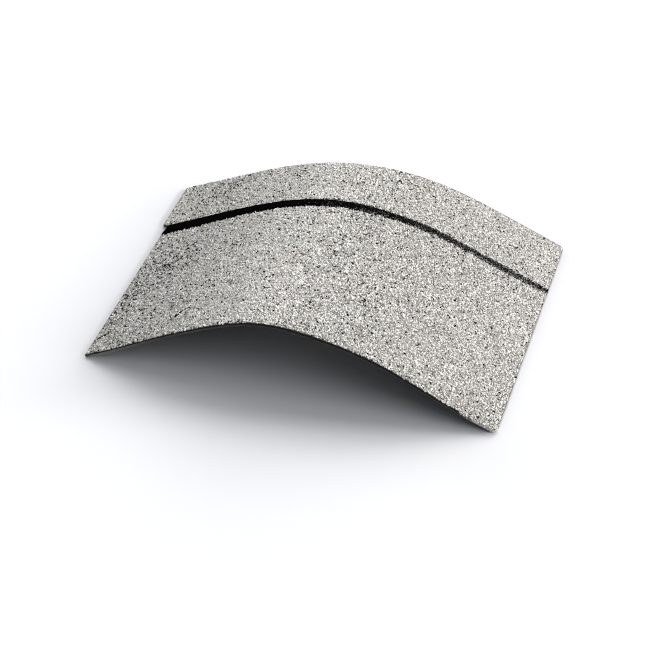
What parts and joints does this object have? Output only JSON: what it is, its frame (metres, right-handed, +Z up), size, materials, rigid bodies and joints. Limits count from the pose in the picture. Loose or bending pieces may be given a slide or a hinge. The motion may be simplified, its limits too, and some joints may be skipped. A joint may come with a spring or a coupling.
{
  "type": "hip and ridge cap shingle",
  "caption": "Asphalt hip-and-ridge cap shingle bent into an arch, with pale grey mineral granules on top and a black self-seal strip across its back; it is nailed over a roof ridge.",
  "frame": {"origin": "middle of the bounding box, on the floor that the two side edges stand on", "axes": "+X across the ridge, +Y along the ridge from the exposed front edge to the covered back edge, +Z up"},
  "size_m": [0.3226, 0.251, 0.0601],
  "materials": {
    "granule_sheet": "rough mineral granules pressed into asphalt",
    "sealant": "black asphalt adhesive, satin"
  },
  "bodies": {
    "root": {"shingle_sheet": "granule_sheet", "seal_strip": "sealant"}
  },
  "joints": []
}
